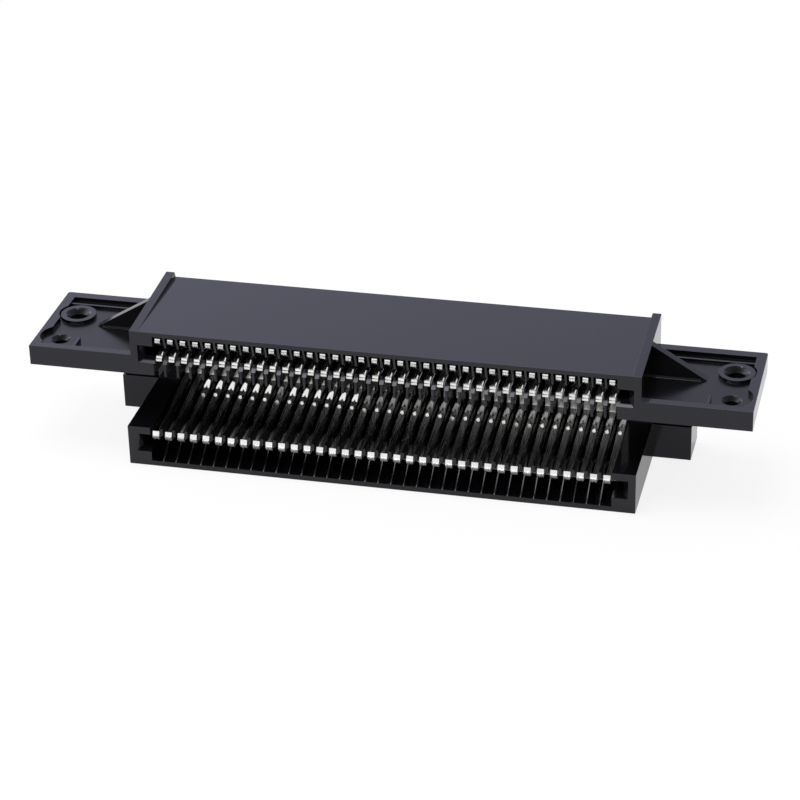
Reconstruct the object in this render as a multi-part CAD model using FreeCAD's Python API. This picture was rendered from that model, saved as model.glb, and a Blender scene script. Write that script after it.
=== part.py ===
import FreeCAD, Part
import math
import os

# A double edge connector, millimetres. X runs along the rows of contacts, Y runs back from
# the slots, Z is up. The origin is the middle of the underside of its bounding box.

# Contact field
contact_count = 36
contacts_per_node = 2
pitch = 2.5
channel_width = 2.0
tip_slot_width = 1.5

# Contact strip
strip_thickness = 0.3
strip_width = 1.3
bend_radius = 0.9
bend_steps = 1

# Slots, shared by the upper and the lower one
slot_end_room = 1.75
side_lead_in = 1.1
lead_in_depth = 1.5
end_wall = 2.5

# Upper slot box, for the cartridge board
upper_box_depth = 24.1
upper_box_height = 9.2
upper_slot_centre = 4.45
upper_board_gap = 1.6
upper_mouth_height = 3.7
upper_slot_depth = 14.0
roof_skin = 0.9
upper_rib_rake = 1.05
upper_spring_travel = 0.4

# Lower slot box, for the main board
lower_box_depth = 28.9
lower_box_height = 8.2
lower_slot_centre = 4.86
lower_board_gap = 2.5
lower_mouth_height = 3.8
lower_slot_depth = 14.5
floor_skin = 1.05
lower_rib_rake = 4.4
lower_spring_travel = 0.75

# Spine that joins the two boxes, and the shoulders beside the lower one
box_gap = 8.9
spine_depth = 8.8
shoulder_reach = 7.55
shoulder_lift = 0.9
shoulder_drop = 0.2
shoulder_ledge = 1.5
core_thickness = 5.0
back_recess = 1.5
core_channel_height = 2.3
leg_room = 0.3

# Contact legs, measured from the faces and floors beside them
tip_rise = 0.85
lower_tip_rise = 1.7
upper_tip_inset = 0.2
inner_tip_inset = 0.55
lower_tip_inset = 0.15
hidden_tip_inset = 8.6
crown_inset = 3.3
hidden_crown_inset = 11.0

# Wings with their fixing holes
wing_length = 20.6
wing_depth = 23.5
wing_thickness = 4.05
pocket_depth = 0.9
end_rim = 1.95
front_rim = 1.7
back_rim = 2.0
stiffener_gap = 1.8
stiffener_thickness = 0.5
stiffener_drop = 0.35
boss_from_end = 4.9
boss_from_front = 15.2
boss_radius = 3.5
boss_height = 0.7
boss_clearance = 0.3
screw_hole_radius = 1.55
screw_sink_radius = 2.5
pin_from_end = 4.6
pin_from_front = 5.4
pin_hole_radius = 1.15
pin_sink_radius = 1.95
pin_clearance = 2.0
sink_angle = 90.0
stop_rib_from_end = 8.35
stop_rib_thickness = 0.45
stop_rib_length = 3.4

# Gusset plates and the raised ramps on the tops of the side walls
gusset_reach = 10.7
gusset_thickness = 1.75
gusset_from_front = 11.85
gusset_fillet = 0.3
ramp_width = 1.7
ramp_height = 0.95
ramp_flank_run = 0.2

# How far a cutting shape runs past the face it opens
overrun = 1.0

# Places that follow from the sizes
field_width = contact_count * pitch
comb_half = field_width / 2 - (pitch - channel_width) / 2
slot_half = field_width / 2 + slot_end_room
mouth_half = slot_half + side_lead_in
box_half = slot_half + end_wall
end_half = box_half + wing_length

back_y = lower_box_depth / 2
lower_front_y = -lower_box_depth / 2
upper_front_y = back_y - upper_box_depth
spine_front_y = back_y - spine_depth
core_back_y = back_y - back_recess
core_front_y = core_back_y - core_thickness
upper_slot_end_y = upper_front_y + upper_slot_depth
lower_slot_end_y = lower_front_y + lower_slot_depth
wing_back_y = upper_front_y + wing_depth

bend_drop = bend_radius + strip_thickness / 2

lower_top_z = lower_box_height
upper_bottom_z = lower_top_z + box_gap
upper_top_z = upper_bottom_z + upper_box_height
wing_top_z = upper_bottom_z + wing_thickness
pocket_floor_z = wing_top_z - pocket_depth
boss_top_z = pocket_floor_z + boss_height
shoulder_top_z = lower_top_z - shoulder_drop
roof_z = upper_top_z - roof_skin
floor_z = floor_skin

upper_slot_z = upper_bottom_z + upper_slot_centre
upper_slot_top_z = upper_slot_z + upper_board_gap / 2
upper_slot_floor_z = upper_slot_z - upper_board_gap / 2
upper_mouth_bottom_z = upper_slot_z - upper_mouth_height / 2
lower_slot_z = lower_slot_centre
lower_slot_top_z = lower_slot_z + lower_board_gap / 2
lower_slot_floor_z = lower_slot_z - lower_board_gap / 2
core_top_z = roof_z - core_channel_height
core_ledge_z = lower_slot_top_z + leg_room
core_bottom_z = floor_z + leg_room + strip_thickness / 2 + bend_drop

boss_x = end_half - boss_from_end
boss_y = upper_front_y + boss_from_front
pin_x = end_half - pin_from_end
pin_y = upper_front_y + pin_from_front


def block(x_range, y_range, z_range):
    low = FreeCAD.Vector(x_range[0], y_range[0], z_range[0])
    high = FreeCAD.Vector(x_range[1], y_range[1], z_range[1])
    size = high - low
    return Part.makeBox(size.x, size.y, size.z, low)


def flat_face(points):
    return Part.Face(Part.makePolygon(points + points[:1]))


# Extrudes an outline of (y, z) corners along X, centred on a given x
def side_prism(outline, middle_x, width):
    points = [FreeCAD.Vector(middle_x - width / 2, y, z) for y, z in outline]
    return flat_face(points).extrude(FreeCAD.Vector(width, 0, 0))


# Extrudes an outline of (x, z) corners along Y
def front_prism(outline, front_y, depth):
    points = [FreeCAD.Vector(x, front_y, z) for x, z in outline]
    return flat_face(points).extrude(FreeCAD.Vector(0, depth, 0))


# The corners of an upright rectangle, in order round it
def rectangle(half_width, y, middle_z, height):
    low = middle_z - height / 2
    high = middle_z + height / 2
    corners = [(-half_width, low), (half_width, low), (half_width, high), (-half_width, high)]
    return [FreeCAD.Vector(x, y, z) for x, z in corners]


# A solid that tapers from one rectangle to another, with flat faces
def taper(near, far):
    faces = [flat_face(near), flat_face(far)]
    for index in range(len(near)):
        ahead = (index + 1) % len(near)
        faces.append(flat_face([near[index], near[ahead], far[ahead], far[index]]))
    return Part.Solid(Part.Shell(faces))


def contact_x(index):
    return (index - (contact_count - 1) / 2) * pitch


def mirrored(shape):
    return shape.mirror(FreeCAD.Vector(0, 0, 0), FreeCAD.Vector(1, 0, 0))


# The space a board slides into, with a tapered mouth all round
def board_slot(front_y, depth, centre_z, board_gap, mouth_height):
    throat_y = front_y + lead_in_depth
    mouth = rectangle(mouth_half, front_y, centre_z, mouth_height)
    throat = rectangle(slot_half, throat_y, centre_z, board_gap)
    end = rectangle(slot_half, front_y + depth, centre_z, board_gap)
    return taper(mouth, throat).fuse(taper(throat, end))


# The ribs between the contacts are raked back at the two slot mouths
def rake_cuts():
    upper = [
        (upper_front_y - overrun, roof_z),
        (upper_front_y, roof_z),
        (upper_front_y + upper_rib_rake, upper_slot_top_z),
        (upper_front_y - overrun, upper_slot_top_z),
    ]
    lower = [
        (lower_front_y - overrun, floor_z),
        (lower_front_y, floor_z),
        (lower_front_y + lower_rib_rake, lower_slot_floor_z),
        (lower_front_y - overrun, lower_slot_floor_z),
    ]
    return [side_prism(outline, 0, 2 * comb_half) for outline in (upper, lower)]


# The channel of one outer contact: along the roof, down the back and along the floor
def outer_channel(x):
    outline = [
        (upper_front_y - overrun, upper_slot_z),
        (upper_front_y - overrun, roof_z),
        (back_y + overrun, roof_z),
        (back_y + overrun, floor_z),
        (lower_front_y - overrun, floor_z),
        (lower_front_y - overrun, lower_slot_z),
        (lower_slot_end_y, lower_slot_z),
        (lower_slot_end_y, core_bottom_z),
        (core_back_y, core_bottom_z),
        (core_back_y, core_top_z),
        (upper_slot_end_y, core_top_z),
        (upper_slot_end_y, upper_slot_z),
    ]
    return side_prism(outline, x, channel_width)


# The channel of one inner contact, open to the gap between the boxes
def inner_channel(x):
    outline = [
        (lower_front_y - overrun, lower_slot_z),
        (lower_slot_end_y, lower_slot_z),
        (lower_slot_end_y, core_ledge_z),
        (core_front_y, core_ledge_z),
        (core_front_y, upper_mouth_bottom_z),
        (lower_front_y - overrun, upper_mouth_bottom_z),
    ]
    wide = side_prism(outline, x, channel_width)
    tip_slot = block(
        (x - tip_slot_width / 2, x + tip_slot_width / 2),
        (upper_front_y - overrun, upper_slot_end_y),
        (upper_mouth_bottom_z, upper_slot_z),
    )
    return wide.fuse(tip_slot)


# A cone and a hole through the wing under it
def sunk_hole(x, y, hole_radius, sink_radius, top_z):
    place = FreeCAD.Vector(x, y, upper_bottom_z - overrun)
    hole = Part.makeCylinder(hole_radius, top_z - upper_bottom_z + 2 * overrun, place)
    sink_depth = (sink_radius - hole_radius) / math.tan(math.radians(sink_angle / 2))
    cone_place = FreeCAD.Vector(x, y, top_z - sink_depth)
    cone = Part.makeCone(hole_radius, sink_radius, sink_depth, cone_place)
    return hole.fuse(cone)


# The tray that is sunk into the top of the right wing, with room round the two holes
def wing_pocket():
    tray = block(
        (box_half, end_half - end_rim),
        (upper_front_y + front_rim, wing_back_y - back_rim),
        (pocket_floor_z, wing_top_z + overrun),
    )
    front_wall = block(
        (box_half, end_half),
        (upper_front_y - overrun, upper_front_y + front_rim),
        (pocket_floor_z, wing_top_z + overrun),
    )
    depth = pocket_depth + overrun
    boss_place = FreeCAD.Vector(boss_x, boss_y, pocket_floor_z)
    boss_room = Part.makeCylinder(boss_radius + boss_clearance, depth, boss_place)
    pin_place = FreeCAD.Vector(pin_x, pin_y, pocket_floor_z)
    pin_room = Part.makeCylinder(pin_sink_radius + pin_clearance, depth, pin_place)
    return tray.fuse([boss_room, pin_room.cut(front_wall)])


# How far the ramp on a side wall has risen at a given y
def ramp_rise(y):
    return ramp_height * (y - upper_front_y) / (back_y - upper_front_y)


def gusset():
    base_z = pocket_floor_z
    plate_front_y = upper_front_y + gusset_from_front
    reach_x = box_half + gusset_reach
    plate_top_z = upper_top_z + ramp_rise(plate_front_y)
    plate = [(box_half, base_z), (reach_x, base_z), (box_half, plate_top_z)]
    foot = [
        (plate_front_y - gusset_fillet, base_z),
        (plate_front_y, base_z),
        (plate_front_y, base_z + gusset_fillet),
    ]
    foot_length = gusset_reach - 4 * gusset_fillet
    return front_prism(plate, plate_front_y, gusset_thickness).fuse(
        side_prism(foot, box_half + foot_length / 2, foot_length)
    )


def right_wing():
    plate = block((box_half, end_half), (upper_front_y, wing_back_y), (upper_bottom_z, wing_top_z))
    wing = plate.cut(wing_pocket())
    stiffener_y = wing_back_y - back_rim - stiffener_gap - stiffener_thickness
    stiffener = block(
        (box_half, end_half - end_rim),
        (stiffener_y, stiffener_y + stiffener_thickness),
        (pocket_floor_z, wing_top_z - stiffener_drop),
    )
    boss = Part.makeCylinder(boss_radius, boss_height, FreeCAD.Vector(boss_x, boss_y, pocket_floor_z))
    stop_rib_x = end_half - stop_rib_from_end
    stop_rib = block(
        (stop_rib_x - stop_rib_thickness, stop_rib_x),
        (upper_front_y, upper_front_y + front_rim + stop_rib_length),
        (pocket_floor_z, wing_top_z),
    )
    wing = wing.fuse([stiffener, boss, stop_rib, gusset()])
    screw_hole = sunk_hole(boss_x, boss_y, screw_hole_radius, screw_sink_radius, boss_top_z)
    pin_hole = sunk_hole(pin_x, pin_y, pin_hole_radius, pin_sink_radius, pocket_floor_z)
    return wing.cut([screw_hole, pin_hole])


# A long low ramp on top of the right side wall, highest at the back, with a steep flank
def wall_ramp():
    crest_x = box_half - ramp_width
    top_z = upper_top_z + ramp_height
    front_outer = FreeCAD.Vector(box_half, upper_front_y, upper_top_z)
    front_inner = FreeCAD.Vector(crest_x, upper_front_y, upper_top_z)
    back_outer = FreeCAD.Vector(box_half, back_y, upper_top_z)
    back_inner = FreeCAD.Vector(crest_x - ramp_flank_run, back_y, upper_top_z)
    crest_outer = FreeCAD.Vector(box_half, back_y, top_z)
    crest_inner = FreeCAD.Vector(crest_x, back_y, top_z)
    underside = flat_face([front_outer, front_inner, back_inner, back_outer])
    top = flat_face([front_outer, crest_outer, crest_inner, front_inner])
    flank = flat_face([front_inner, crest_inner, back_inner])
    back = flat_face([back_outer, back_inner, crest_inner, crest_outer])
    side = flat_face([front_outer, back_outer, crest_outer])
    return Part.Solid(Part.Shell([underside, top, flank, back, side]))


def housing():
    upper = block((-box_half, box_half), (upper_front_y, back_y), (upper_bottom_z, upper_top_z))
    lower = block((-box_half, box_half), (lower_front_y, back_y), (0, lower_top_z))
    spine = block((-box_half, box_half), (spine_front_y, back_y), (lower_top_z, upper_bottom_z))
    shoulder_half = box_half + shoulder_reach
    shoulders = block(
        (-shoulder_half, shoulder_half), (spine_front_y, back_y), (shoulder_lift, shoulder_top_z)
    )
    shoulder_backs = block(
        (-shoulder_half, shoulder_half),
        (spine_front_y + shoulder_ledge, back_y),
        (shoulder_top_z, upper_bottom_z),
    )
    upper_slot = board_slot(
        upper_front_y, upper_slot_depth, upper_slot_z, upper_board_gap, upper_mouth_height
    )
    lower_slot = board_slot(
        lower_front_y, lower_slot_depth, lower_slot_z, lower_board_gap, lower_mouth_height
    )
    cuts = [upper_slot, lower_slot] + rake_cuts()
    for index in range(contact_count):
        cuts.append(outer_channel(contact_x(index)))
        cuts.append(inner_channel(contact_x(index)))
    wing = right_wing()
    ramp = wall_ramp()
    body = upper.fuse([lower, spine, shoulders, shoulder_backs]).cut(cuts)
    return body.fuse([wing, mirrored(wing), ramp, mirrored(ramp)]).removeSplitter()


# Rounds one corner of a path into points on an arc
def bend(before, corner, after):
    towards_before = (before - corner).normalize()
    towards_after = (after - corner).normalize()
    turn = math.pi - towards_before.getAngle(towards_after)
    inward = (towards_before + towards_after).normalize()
    centre = corner + inward * (bend_radius / math.cos(turn / 2))
    start = corner + towards_before * (bend_radius * math.tan(turn / 2)) - centre
    end = corner + towards_after * (bend_radius * math.tan(turn / 2)) - centre
    points = []
    for step in range(bend_steps + 1):
        angle = turn * step / bend_steps
        point = start * math.sin(turn - angle) + end * math.sin(angle)
        points.append(centre + point * (1 / math.sin(turn)))
    return points


# The line beside a centre line, moved sideways by a distance, with mitred corners
def beside(line, distance):
    steps = [(after - before).normalize() for before, after in zip(line, line[1:])]
    moved = []
    for point, behind, ahead in zip(line, steps[:1] + steps, steps + steps[-1:]):
        normal = FreeCAD.Vector(0, -(ahead.z + behind.z), ahead.y + behind.y).normalize()
        squeeze = normal.z * ahead.y - normal.y * ahead.z
        moved.append(point + normal * (distance / squeeze))
    return moved


# A bent strip: two spring legs, given as (y, z) points, joined by an upright web.
# The last point of the upper leg and the first of the lower leg are the web's corners.
def contact(upper_leg, lower_leg, x):
    path = [FreeCAD.Vector(0, y, z) for y, z in upper_leg + lower_leg]
    corner = len(upper_leg) - 1
    line = path[:corner]
    line += bend(*path[corner - 1 : corner + 2])
    line += bend(*path[corner : corner + 3])
    line += path[corner + 2 :]
    edge = beside(line, strip_thickness / 2) + beside(line, -strip_thickness / 2)[::-1]
    return side_prism([(point.y, point.z) for point in edge], x, strip_width)


# The inner contact joins the lower row of the upper slot with the upper row of the lower slot
def inner_contact(x):
    web_y = core_front_y - strip_thickness / 2
    upper_leg_z = upper_mouth_bottom_z - bend_drop
    upper_crown_z = upper_slot_floor_z + upper_spring_travel - strip_thickness / 2
    tip_y = upper_front_y + inner_tip_inset
    lower_leg_z = lower_top_z + bend_radius
    lower_crown_z = lower_slot_top_z - lower_spring_travel + strip_thickness / 2
    lower_tip_y = lower_front_y + lower_tip_inset + strip_thickness / 2
    upper_leg = [
        (tip_y, upper_crown_z - tip_rise),
        (tip_y + strip_thickness, upper_crown_z - strip_thickness / 2),
        (upper_front_y + crown_inset, upper_crown_z),
        (web_y, upper_leg_z),
    ]
    lower_leg = [
        (web_y, lower_leg_z),
        (lower_front_y + crown_inset, lower_crown_z),
        (lower_tip_y + strip_thickness / 2, lower_crown_z + strip_thickness),
        (lower_tip_y, lower_crown_z + strip_thickness + lower_tip_rise),
    ]
    return contact(upper_leg, lower_leg, x)


# The outer contact joins the upper row of the upper slot with the lower row of the lower slot
def outer_contact(x):
    web_y = core_back_y + strip_thickness / 2
    upper_leg_z = roof_z - leg_room - strip_thickness / 2
    upper_crown_z = upper_slot_top_z - upper_spring_travel + strip_thickness / 2
    tip_y = upper_front_y + upper_tip_inset
    tip_top_z = roof_z - strip_thickness
    lower_leg_z = core_bottom_z - bend_drop
    lower_crown_z = lower_slot_floor_z + lower_spring_travel - strip_thickness / 2
    upper_leg = [
        (tip_y, tip_top_z),
        (tip_y + strip_thickness / 2, tip_top_z - tip_rise),
        (upper_front_y + crown_inset, upper_crown_z),
        (web_y, upper_leg_z),
    ]
    lower_leg = [
        (web_y, lower_leg_z),
        (lower_slot_end_y, lower_leg_z),
        (lower_front_y + hidden_crown_inset, lower_crown_z),
        (lower_front_y + hidden_tip_inset, lower_leg_z),
    ]
    return contact(upper_leg, lower_leg, x)


def write(node, shape):
    shape.exportStep("parts/" + node + ".step")


# Neighbouring contacts share a node, as separate solids
def write_contacts(name, make_contact):
    for first in range(0, contact_count, contacts_per_node):
        last = min(first + contacts_per_node, contact_count)
        group = [make_contact(contact_x(index)) for index in range(first, last)]
        write("%s_%02d_%02d" % (name, first + 1, last), Part.makeCompound(group))


os.makedirs("parts", exist_ok=True)
write("housing", housing())
write_contacts("inner_contacts", inner_contact)
write_contacts("outer_contacts", outer_contact)
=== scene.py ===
import math

import bmesh
import bpy
from mathutils import Matrix, Vector


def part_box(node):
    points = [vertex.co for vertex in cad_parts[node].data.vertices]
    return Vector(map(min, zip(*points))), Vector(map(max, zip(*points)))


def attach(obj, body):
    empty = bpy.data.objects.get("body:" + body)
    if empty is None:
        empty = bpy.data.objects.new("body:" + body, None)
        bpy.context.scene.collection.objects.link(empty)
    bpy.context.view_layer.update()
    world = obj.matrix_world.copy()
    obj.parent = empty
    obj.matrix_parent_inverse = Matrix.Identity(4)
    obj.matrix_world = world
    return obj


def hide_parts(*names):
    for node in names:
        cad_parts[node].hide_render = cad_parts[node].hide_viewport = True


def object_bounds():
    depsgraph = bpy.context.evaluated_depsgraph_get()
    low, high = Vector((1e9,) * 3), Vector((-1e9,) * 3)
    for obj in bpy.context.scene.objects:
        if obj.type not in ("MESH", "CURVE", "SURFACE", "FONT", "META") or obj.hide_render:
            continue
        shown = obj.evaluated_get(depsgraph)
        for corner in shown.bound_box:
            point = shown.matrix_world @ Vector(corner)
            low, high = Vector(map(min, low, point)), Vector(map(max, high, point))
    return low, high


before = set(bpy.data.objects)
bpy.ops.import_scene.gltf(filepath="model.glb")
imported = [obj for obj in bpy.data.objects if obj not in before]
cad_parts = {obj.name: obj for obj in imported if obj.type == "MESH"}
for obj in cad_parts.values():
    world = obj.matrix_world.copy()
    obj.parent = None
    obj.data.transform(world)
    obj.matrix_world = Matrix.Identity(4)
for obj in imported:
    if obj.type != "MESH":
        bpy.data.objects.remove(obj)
cadLow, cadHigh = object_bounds()
mm = 0.001
print("frame loaded,", len(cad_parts), "CAD nodes")


def toLinear(hexColour):
    channels = []
    for start in (0, 2, 4):
        value = int(hexColour[start:start + 2], 16) / 255
        if value <= 0.04045:
            channels.append(value / 12.92)
        else:
            channels.append(((value + 0.055) / 1.055) ** 2.4)
    return (*channels, 1.0)


# Inputs that share a name, as on a maths node, are given by number
def addNode(tree, kind, settings, links):
    node = tree.nodes.new(kind)
    for name, value in settings.items():
        if isinstance(name, int) or name in node.inputs:
            node.inputs[name].default_value = value
        else:
            setattr(node, name, value)
    for name, source in links.items():
        tree.links.new(source, node.inputs[name])
    return node


def newMaterial(name):
    material = bpy.data.materials.new(name)
    material.use_nodes = True
    material.node_tree.nodes.clear()
    return material, material.node_tree


noiseLow = 0.3   # noise seldom leaves this range
noiseHigh = 0.7

# Black PBT, injection moulded in a polished tool: nearly all that the eye gets is the
# reflection of the room, clean on the flats, with a little waviness where the walls sank.
pbtLook = {
    "name": "blackMouldedPbt",
    "colour": "0b0b0e",
    "sheen": "f1f2fc",      # the cool cast of the skin, seen in its reflections
    "roughness": 0.13,
    "roughnessSpread": 0.04,
    "ior": 1.46,
    "waveSize": 9.0,        # mm, sink marks over the ribs
    "waveHeight": 0.004,    # mm
    "grainSize": 0.35,      # mm, drawn coarser than the real grain so that it shows
    "grainHeight": 0.0006,  # mm
}

# The same plastic in the wing trays, off a spark eroded part of the tool: its fine pits
# swallow a third of the reflection.
trayLook = dict(pbtLook, name="blackErodedPbt", ior=1.365, roughness=0.26, grainHeight=0.0009)


def blackPbt(look):
    material, tree = newMaterial(look["name"])
    place = addNode(tree, "ShaderNodeTexCoord", {}, {})
    wave = addNode(tree, "ShaderNodeTexNoise",
                   {"Scale": 1 / (look["waveSize"] * mm), "Detail": 1.0},
                   {"Vector": place.outputs["Object"]})
    grain = addNode(tree, "ShaderNodeTexNoise",
                    {"Scale": 1 / (look["grainSize"] * mm), "Detail": 2.0},
                    {"Vector": place.outputs["Object"]})
    waveBump = addNode(tree, "ShaderNodeBump",
                       {"Distance": look["waveHeight"] * mm, "Strength": 1.0},
                       {"Height": wave.outputs["Fac"]})
    grainBump = addNode(tree, "ShaderNodeBump",
                        {"Distance": look["grainHeight"] * mm, "Strength": 1.0},
                        {"Height": grain.outputs["Fac"], "Normal": waveBump.outputs["Normal"]})
    low = look["roughness"] - look["roughnessSpread"]
    high = look["roughness"] + look["roughnessSpread"]
    rough = addNode(tree, "ShaderNodeMapRange",
                    {"From Min": noiseLow, "From Max": noiseHigh, "To Min": low, "To Max": high},
                    {"Value": wave.outputs["Fac"]})
    shader = addNode(tree, "ShaderNodeBsdfPrincipled",
                     {"Base Color": toLinear(look["colour"]), "IOR": look["ior"],
                      "Specular Tint": toLinear(look["sheen"])},
                     {"Roughness": rough.outputs["Result"], "Normal": grainBump.outputs["Normal"]})
    addNode(tree, "ShaderNodeOutputMaterial", {}, {"Surface": shader.outputs["BSDF"]})
    return material


# Phosphor bronze strip, bright tin plated and stamped: a soft silver mirror with faint
# rolling lines along its length, a little duller where the plating has aged.
tinLook = {
    "colour": "e8e8e6",
    "worn": "dedfdc",
    "wornTo": 0.35,       # of the blotch noise, all worn up to here
    "brightFrom": 0.6,    # and all bright from here on
    "roughness": 0.27,
    "roughnessSpread": 0.04,
    "rollingLine": 0.12,  # mm between rolling lines
    "linesAlong": 60.0,   # per metre, so that each runs about 17 mm
    "blotch": 2.2,        # mm
}


def tinnedBronze():
    material, tree = newMaterial("brightTinnedBronze")
    place = addNode(tree, "ShaderNodeTexCoord", {}, {})
    blotch = addNode(tree, "ShaderNodeTexNoise",
                     {"Scale": 1 / (tinLook["blotch"] * mm), "Detail": 2.0},
                     {"Vector": place.outputs["Object"]})
    along = tinLook["linesAlong"]
    across = addNode(tree, "ShaderNodeMapping",
                     {"Scale": (1 / (tinLook["rollingLine"] * mm), along, along)},
                     {"Vector": place.outputs["Object"]})
    rolling = addNode(tree, "ShaderNodeTexNoise", {"Scale": 1.0, "Detail": 1.0},
                      {"Vector": across.outputs["Vector"]})
    tone = addNode(tree, "ShaderNodeValToRGB", {}, {"Fac": blotch.outputs["Fac"]})
    tone.color_ramp.elements[0].position = tinLook["wornTo"]
    tone.color_ramp.elements[0].color = toLinear(tinLook["worn"])
    tone.color_ramp.elements[1].position = tinLook["brightFrom"]
    tone.color_ramp.elements[1].color = toLinear(tinLook["colour"])
    low = tinLook["roughness"] - tinLook["roughnessSpread"]
    high = tinLook["roughness"] + tinLook["roughnessSpread"]
    rough = addNode(tree, "ShaderNodeMapRange",
                    {"From Min": noiseLow, "From Max": noiseHigh, "To Min": low, "To Max": high},
                    {"Value": rolling.outputs["Fac"]})
    shader = addNode(tree, "ShaderNodeBsdfPrincipled", {"Metallic": 1.0},
                     {"Base Color": tone.outputs["Color"], "Roughness": rough.outputs["Result"]})
    addNode(tree, "ShaderNodeOutputMaterial", {}, {"Surface": shader.outputs["BSDF"]})
    return material


pbt = blackPbt(pbtLook)
trayPbt = blackPbt(trayLook)
tin = tinnedBronze()
print("materials made")


housingLook = {
    "weld": 0.0005,       # mm, joins the loose triangles
    "flatAngle": 0.6,     # degrees, below this two faces are one
    "sharpAngle": 30,     # degrees, from this on an edge is rounded
    "edgeRound": 0.12,    # mm, all outer edges
    "cornerRound": 0.5,   # mm, the upright back corners of the wings
    "cornerSteps": 4,
    "ribRound": 0.1,      # mm, the front edges of the ribs between the contacts
    "lowRibRound": 0.17,  # mm, the same in the bottom of the lower slot
    "lowRibTop": 5.0,     # mm, a rib edge that stays below this height is a low one
    "roundSteps": 2,
}
channelRoom = 0.35 * mm  # beside a strip in its channel
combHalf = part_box("outer_contacts_35_36")[1].x + channelRoom  # where the outermost channel ends
boxHalf = 49.25 * mm     # half the length of the two boxes
trayZ = 20.25 * mm       # the floor of the wing trays
wingBack = 10 * mm       # y, only the back corners of the wings lie behind it
near = 0.01 * mm
alongAxis = 0.99         # from this on a normal counts as lying along an axis
forward = -0.3           # a normal whose y is below this faces the front


def makePiece(name, mesh, materials, nodes):
    piece = bpy.data.objects.new(name, mesh)
    bpy.context.scene.collection.objects.link(piece)
    for material in materials:
        mesh.materials.append(material)
    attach(piece, "root")
    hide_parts(*nodes)
    return piece


def roundEdges(shape, edges, width, steps):
    bmesh.ops.bevel(shape, geom=edges, offset=width * mm, offset_type="OFFSET", affect="EDGES",
                    segments=steps, profile=0.5, material=-1, clamp_overlap=True)


# An upright edge at the outer back corner of a wing
def isWingCorner(edge):
    atEnd = all(abs(vert.co.x) > cadHigh.x - near and vert.co.y > wingBack
                for vert in edge.verts)
    return atEnd and abs(edge.verts[0].co.z - edge.verts[1].co.z) > mm


# A long front edge of a rib, between the rib's front and its side
def isRibEdge(edge):
    across = abs(edge.verts[0].co.x - edge.verts[1].co.x)
    if across > near or not edge.is_convex:
        return False
    normals = sorted((face.normal for face in edge.link_faces), key=lambda normal: abs(normal.x))
    return abs(normals[1].x) > alongAxis and normals[0].y < forward


def roundedHousing(cadNode):
    shape = bmesh.new()
    shape.from_mesh(cadNode.data)
    bmesh.ops.remove_doubles(shape, verts=shape.verts, dist=housingLook["weld"] * mm)
    bmesh.ops.dissolve_limit(shape, angle_limit=math.radians(housingLook["flatAngle"]),
                             verts=shape.verts, edges=shape.edges)
    corners = [edge for edge in shape.edges if isWingCorner(edge)]
    roundEdges(shape, corners, housingLook["cornerRound"], housingLook["cornerSteps"])
    sharp = math.radians(housingLook["sharpAngle"])
    outer = []
    ribs = []
    for edge in shape.edges:
        if len(edge.link_faces) != 2 or edge.calc_face_angle() < sharp:
            continue
        if all(abs(vert.co.x) < combHalf + near for vert in edge.verts):
            if isRibEdge(edge):
                ribs.append(edge)
        else:
            outer.append(edge)
    print("housing edges:", len(outer), "outer,", len(ribs), "rib,", len(corners), "corner")
    roundEdges(shape, outer, housingLook["edgeRound"], housingLook["roundSteps"])
    ribs = [edge for edge in ribs if edge.is_valid]
    lowRibs = [edge for edge in ribs
               if max(vert.co.z for vert in edge.verts) < housingLook["lowRibTop"] * mm]
    highRibs = [edge for edge in ribs if edge not in lowRibs]
    roundEdges(shape, highRibs, housingLook["ribRound"], housingLook["roundSteps"])
    lowRibs = [edge for edge in lowRibs if edge.is_valid]
    roundEdges(shape, lowRibs, housingLook["lowRibRound"], housingLook["roundSteps"])
    for face in shape.faces:
        middle = face.calc_center_median()
        inTray = abs(middle.x) > boxHalf and abs(middle.z - trayZ) < 2 * near
        face.material_index = int(inTray and face.normal.z > alongAxis)
    mesh = bpy.data.meshes.new("housingShell")
    shape.to_mesh(mesh)
    shape.free()
    return mesh


shell = makePiece("housingShell", roundedHousing(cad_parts["housing"]),
                  [pbt, trayPbt], ["housing"])
print("housing made:", len(shell.data.polygons), "faces")


stripLook = {
    "thickness": 0.3,   # mm
    "cadWidth": 1.3,    # mm, of the strips that these replace
    "tipAbove": 15,     # mm, the tips higher than this are the narrower ones
    "edgeRound": 0.04,  # mm
    "edgeSteps": 2,
    "roundFrom": 60,    # degrees, from this on an edge is rounded
    "bendSteps": 5,
    "flatAngle": 20,    # degrees, a crease sharper than this stays crisp
}

# Centre lines as (y, z, reach of the bend) in mm in the row frame, from the upper tip to
# the lower one. The tips are coined into two flats with a fine groove between them.
innerStrip = {
    "width": 1.3,      # mm
    "tipWidth": 1.12,  # mm
    "tipFrom": -8.7,   # mm, y where the narrower tip begins
    "line": [(-9.08, 20.12, 0), (-9.14, 20.48, 0), (-8.96, 20.53, 0), (-8.91, 20.66, 0),
             (-8.76, 20.98, 0.1), (-6.35, 21.05, 0.8), (7.8, 18.65, 0.8), (7.8, 8.6, 0.3),
             (-11.15, 5.51, 1.2), (-13.71, 5.62, 0.1), (-14.15, 6.42, 0), (-13.96, 6.48, 0),
             (-13.96, 6.5, 0), (-13.68, 7.28, 0)],
}
outerStrip = {
    "width": 1.25,
    "tipWidth": 1.05,
    "tipFrom": -6.0,
    "line": [(-9.24, 25.0, 0), (-9.27, 24.58, 0), (-9.27, 24.55, 0), (-9.4, 24.51, 0),
             (-9.22, 24.06, 0.1), (-6.35, 22.1, 1.0), (13.1, 24.95, 0.8), (13.1, 1.5, 0.8),
             (0.05, 1.5, 0.8), (-3.45, 4.21, 0.8), (-5.85, 1.5, 0)],
}


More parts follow.
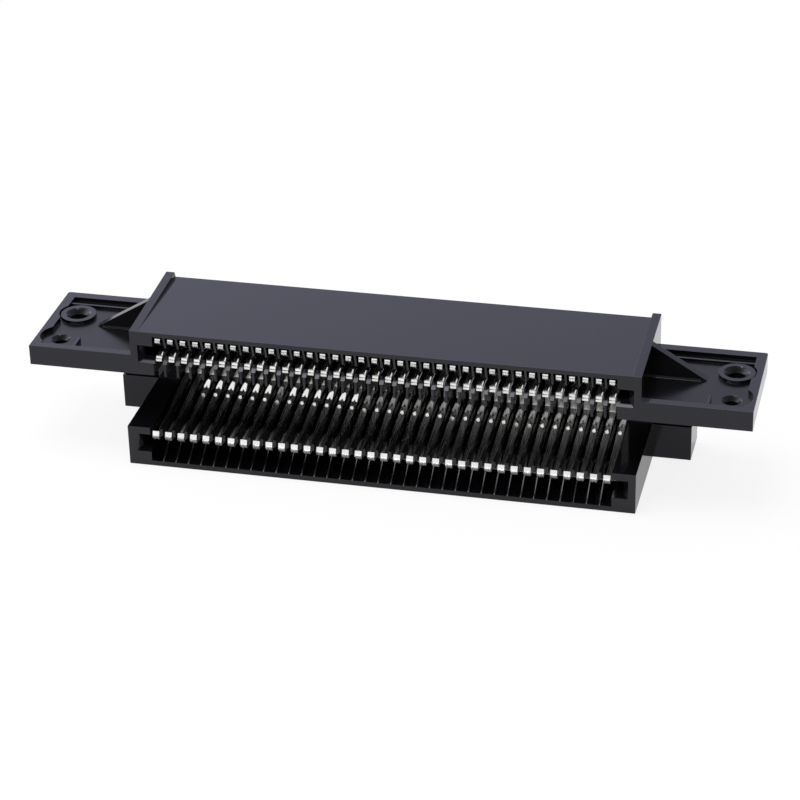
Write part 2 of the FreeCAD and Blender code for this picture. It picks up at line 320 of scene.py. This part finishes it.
def bentStrip(look):
    strip = bmesh.new()
    line = look["line"]
    corners = [strip.verts.new((0, y * mm, z * mm)) for y, z, reach in line]
    for before, after in zip(corners, corners[1:]):
        strip.edges.new((before, after))
    for corner, (y, z, reach) in zip(corners, line):
        if reach:
            bmesh.ops.bevel(strip, geom=[corner], offset=reach * mm, offset_type="OFFSET",
                            affect="VERTICES", segments=stripLook["bendSteps"], profile=0.5,
                            material=-1)
    side = bmesh.ops.extrude_edge_only(strip, edges=strip.edges[:])
    moved = [item for item in side["geom"] if isinstance(item, bmesh.types.BMVert)]
    bmesh.ops.translate(strip, verts=moved, vec=(look["width"] * mm, 0, 0))
    bmesh.ops.translate(strip, verts=strip.verts, vec=(-look["width"] / 2 * mm, 0, 0))
    tip = [vert for vert in strip.verts
           if vert.co.y < look["tipFrom"] * mm and vert.co.z > stripLook["tipAbove"] * mm]
    bmesh.ops.scale(strip, verts=tip, vec=(look["tipWidth"] / look["width"], 1, 1))
    bmesh.ops.recalc_face_normals(strip, faces=strip.faces)
    return strip


# Each inner strip but the first two has a lance pressed up out of its lower leg and a round
# pip before it, and all have a burr turned up at the right of the upper tip. The lances and
# pips differ in how far they stand up, which is why only some of them catch the light.
# Outlines are (across, up) and feet are (y, z), both in mm, and leans are in degrees back
# from upright. Strips are numbered from the left.
lanceLook = {
    "foot": (3.45, 8.0),
    "outline": [(-0.66, -0.12), (-0.5, 0.5), (-0.12, 1.3), (0.2, 1.8), (0.72, 1.55),
                (0.6, 0.7), (0.5, 0.0), (0.28, 0.0), (0.0, 0.5), (-0.3, 0.05)],
    "thickness": 0.2,       # mm
    "lean": 22,
    "steepLean": 7,
    "steepStrips": [9, 16, 23] + list(range(17, 23)) + list(range(24, 37)),
    "plainStrips": [1, 2],  # with neither lance nor pip
    "pip": (1.35, 7.85),    # its middle
    "pipRadius": 0.36,      # mm
    "pipFlare": 1.25,       # how much wider it is at its foot
    "pipLength": 0.5,       # mm
    "pipSides": 14,
    "pipLean": 20,
    "lowPips": [3, 9, 16, 23, 28, 29],
    "lowPipLean": -4,
    "burr": [(0.22, 0.0), (0.54, 0.0), (0.66, 0.85), (0.54, 0.95)],
    "burrFoot": (-8.72, 20.92),
    "burrLean": 30,
    "flatAngle": 30,        # degrees, a crease sharper than this stays crisp
}


# A flat tab that stands on a strip
def addTab(tabs, outline, middle, foot, lean):
    ring = [tabs.verts.new((across * mm, 0, up * mm)) for across, up in outline]
    face = tabs.faces.new(ring)
    back = bmesh.ops.extrude_face_region(tabs, geom=[face])
    moved = [item for item in back["geom"] if isinstance(item, bmesh.types.BMVert)]
    bmesh.ops.translate(tabs, verts=moved, vec=(0, lanceLook["thickness"] * mm, 0))
    place = Matrix.Translation((middle, foot[0] * mm, foot[1] * mm))
    bmesh.ops.transform(tabs, verts=ring + moved,
                        matrix=place @ Matrix.Rotation(math.radians(-lean), 4, "X"))


def addPip(tabs, middle, lean):
    y, z = lanceLook["pip"]
    place = Matrix.Translation((middle, y * mm, z * mm))
    radius = lanceLook["pipRadius"] * mm
    bmesh.ops.create_cone(tabs, cap_ends=True, segments=lanceLook["pipSides"],
                          radius1=radius * lanceLook["pipFlare"], radius2=radius,
                          depth=lanceLook["pipLength"] * mm,
                          matrix=place @ Matrix.Rotation(math.radians(90 - lean), 4, "X"))


def addLance(tabs, middle, number):
    addTab(tabs, lanceLook["burr"], middle, lanceLook["burrFoot"], lanceLook["burrLean"])
    if number in lanceLook["plainStrips"]:
        return
    steep = number in lanceLook["steepStrips"]
    addTab(tabs, lanceLook["outline"], middle, lanceLook["foot"],
           lanceLook["steepLean"] if steep else lanceLook["lean"])
    low = number in lanceLook["lowPips"]
    addPip(tabs, middle, lanceLook["lowPipLean"] if low else lanceLook["pipLean"])


# Where the middles of a node's two strips are
def stripMiddles(node):
    low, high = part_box(node)
    half = stripLook["cadWidth"] / 2 * mm
    return low.x + half, high.x - half


def contactPiece(name, shape, flatAngle, node):
    mesh = bpy.data.meshes.new(name)
    shape.to_mesh(mesh)
    shape.free()
    mesh.shade_smooth()
    mesh.set_sharp_from_angle(angle=math.radians(flatAngle))
    return makePiece(name, mesh, [tin], [node])


def lancePiece(name, node):
    first = int(node.split("_")[2])
    lances = bmesh.new()
    for number, middle in enumerate(stripMiddles(node), first):
        addLance(lances, middle, number)
    bmesh.ops.recalc_face_normals(lances, faces=lances.faces)
    return contactPiece(name, lances, lanceLook["flatAngle"], node)


def stripPiece(name, node, look):
    template = bentStrip(look)
    strips = bmesh.new()
    for middle in stripMiddles(node):
        mesh = bpy.data.meshes.new("strip")
        template.to_mesh(mesh)
        mesh.transform(Matrix.Translation((middle, 0, 0)))
        strips.from_mesh(mesh)
        bpy.data.meshes.remove(mesh)
    template.free()
    piece = contactPiece(name, strips, stripLook["flatAngle"], node)
    plate = piece.modifiers.new("sheet", "SOLIDIFY")
    plate.thickness = stripLook["thickness"] * mm
    plate.offset = 0
    plate.use_even_offset = True
    edge = piece.modifiers.new("edges", "BEVEL")
    edge.width = stripLook["edgeRound"] * mm
    edge.segments = stripLook["edgeSteps"]
    edge.limit_method = "ANGLE"
    edge.angle_limit = math.radians(stripLook["roundFrom"])
    edge.harden_normals = True
    return piece


for node in sorted(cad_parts):
    if node.startswith("inner_contacts"):
        stripPiece(node.replace("_contacts_", "Strips_"), node, innerStrip)
        lancePiece(node.replace("inner_contacts_", "innerLances_"), node)
    elif node.startswith("outer_contacts"):
        stripPiece(node.replace("_contacts_", "Strips_"), node, outerStrip)
print("contacts made")


roomLook = {
    "floorColour": "fafafa",
    "floorSize": 4.0,             # metres
    "floorGlow": 0.86,            # how far white covers the shadow, to the camera
    "floorGlowInGloss": 0.5,      # and in reflections
    "level": 1.07,                # how bright the walls are as a whole
    "leftRight": 1.0,             # how fast they darken from left to right
    "evenAt": 0.21,               # the direction, to the left, where they have that level
    "backWall": "e6e8ff",         # cooler than the rest, as daylight
    "backFrom": (0.2, 0.8),       # y of the direction, from white to that colour
    "frontCeiling": 0.65,         # how much darker the ceiling is towards the front
    "ceilingFrom": (0.5, 0.8),    # z of the direction, from not to fully so
    "frontFrom": (0.15, -0.35),   # y of the direction, the same
    "lampPlace": (-0.08, 0.02, 0.6),  # metres
    "lampSize": 0.3,              # metres
    "lampPower": 1.5,             # watts
}


def whiteFloor():
    material, tree = newMaterial("paleFloor")
    shader = addNode(tree, "ShaderNodeBsdfDiffuse",
                     {"Color": toLinear(roomLook["floorColour"])}, {})
    glow = addNode(tree, "ShaderNodeEmission", {"Color": (1, 1, 1, 1), "Strength": 1.0}, {})
    ray = addNode(tree, "ShaderNodeLightPath", {}, {})
    seen = addNode(tree, "ShaderNodeMath",
                   {"operation": "MULTIPLY", 1: roomLook["floorGlow"]},
                   {0: ray.outputs["Is Camera Ray"]})
    mirrored = addNode(tree, "ShaderNodeMath", {"operation": "MAXIMUM"},
                       {0: ray.outputs["Is Glossy Ray"], 1: ray.outputs["Is Transmission Ray"]})
    amount = addNode(tree, "ShaderNodeMath",
                     {"operation": "MULTIPLY_ADD", 1: roomLook["floorGlowInGloss"]},
                     {0: mirrored.outputs[0], 2: seen.outputs[0]})
    mix = addNode(tree, "ShaderNodeMixShader", {},
                  {0: amount.outputs[0], 1: shader.outputs["BSDF"], 2: glow.outputs["Emission"]})
    addNode(tree, "ShaderNodeOutputMaterial", {}, {"Surface": mix.outputs["Shader"]})
    sheet = bmesh.new()
    bmesh.ops.create_grid(sheet, x_segments=1, y_segments=1, size=roomLook["floorSize"] / 2)
    mesh = bpy.data.meshes.new("floor")
    sheet.to_mesh(mesh)
    sheet.free()
    mesh.materials.append(material)
    floor = bpy.data.objects.new("floor", mesh)
    floor.location.z = cadLow.z
    bpy.context.scene.collection.objects.link(floor)


# A white room, lighter on the left than on the right, with a darker ceiling at the front
def whiteRoom():
    world = bpy.data.worlds.new("whiteRoom")
    world.use_nodes = True
    tree = world.node_tree
    tree.nodes.clear()
    place = addNode(tree, "ShaderNodeTexCoord", {}, {})
    axes = addNode(tree, "ShaderNodeSeparateXYZ", {}, {"Vector": place.outputs["Generated"]})
    slope = -roomLook["leftRight"]
    fall = addNode(tree, "ShaderNodeMath",
                   {"operation": "MULTIPLY_ADD", 1: slope, 2: slope * roomLook["evenAt"]},
                   {0: axes.outputs["X"]})
    walls = addNode(tree, "ShaderNodeMath", {"operation": "EXPONENT"}, {0: fall.outputs[0]})
    start, end = roomLook["ceilingFrom"]
    overhead = addNode(tree, "ShaderNodeMapRange", {"From Min": start, "From Max": end},
                       {"Value": axes.outputs["Z"]})
    start, end = roomLook["frontFrom"]
    towards = addNode(tree, "ShaderNodeMapRange", {"From Min": start, "From Max": end},
                      {"Value": axes.outputs["Y"]})
    both = addNode(tree, "ShaderNodeMath", {"operation": "MULTIPLY"},
                   {0: overhead.outputs["Result"], 1: towards.outputs["Result"]})
    dark = addNode(tree, "ShaderNodeMapRange",
                   {"To Min": 1.0, "To Max": 1 - roomLook["frontCeiling"]},
                   {"Value": both.outputs[0]})
    shaded = addNode(tree, "ShaderNodeMath", {"operation": "MULTIPLY"},
                     {0: walls.outputs[0], 1: dark.outputs["Result"]})
    strength = addNode(tree, "ShaderNodeMath", {"operation": "MULTIPLY", 1: roomLook["level"]},
                       {0: shaded.outputs[0]})
    start, end = roomLook["backFrom"]
    behind = addNode(tree, "ShaderNodeMapRange", {"From Min": start, "From Max": end},
                     {"Value": axes.outputs["Y"]})
    cool = addNode(tree, "ShaderNodeValToRGB", {}, {"Fac": behind.outputs["Result"]})
    cool.color_ramp.elements[0].color = (1, 1, 1, 1)
    cool.color_ramp.elements[1].color = toLinear(roomLook["backWall"])
    sky = addNode(tree, "ShaderNodeBackground", {},
                  {"Color": cool.outputs["Color"], "Strength": strength.outputs[0]})
    addNode(tree, "ShaderNodeOutputWorld", {}, {"Surface": sky.outputs["Background"]})
    bpy.context.scene.world = world


def overheadLamp():
    lamp = bpy.data.lights.new("softbox", "AREA")
    lamp.shape = "SQUARE"
    lamp.size = roomLook["lampSize"]
    lamp.energy = roomLook["lampPower"]
    holder = bpy.data.objects.new("softbox", lamp)
    holder.location = roomLook["lampPlace"]
    bpy.context.scene.collection.objects.link(holder)


whiteFloor()
whiteRoom()
overheadLamp()
print("room lit")


cameraLook = {
    "azimuth": 13.884,     # degrees round from the front, towards +X
    "elevation": 28.864,   # degrees
    "roll": -1.438,        # degrees
    "place": (112.704, -451.103, 267.475),  # mm
    "lens": 124.324,       # mm
    "sensor": 36.0,        # mm
    "clip": (0.01, 20.0),  # metres
}


def photoCamera():
    camera = bpy.data.objects.new("camera", bpy.data.cameras.new("camera"))
    bpy.context.scene.collection.objects.link(camera)
    camera.data.lens = cameraLook["lens"]
    camera.data.sensor_width = cameraLook["sensor"]
    camera.data.clip_start, camera.data.clip_end = cameraLook["clip"]
    turn = Matrix.Rotation(math.radians(cameraLook["azimuth"]), 4, "Z")
    tilt = Matrix.Rotation(math.radians(90 - cameraLook["elevation"]), 4, "X")
    roll = Matrix.Rotation(math.radians(cameraLook["roll"]), 4, "Z")
    place = Matrix.Translation(Vector(cameraLook["place"]) * mm)
    camera.matrix_world = place @ turn @ tilt @ roll
    bpy.context.scene.camera = camera


photoCamera()
bpy.context.scene.view_settings.view_transform = "Standard"
print("camera set")
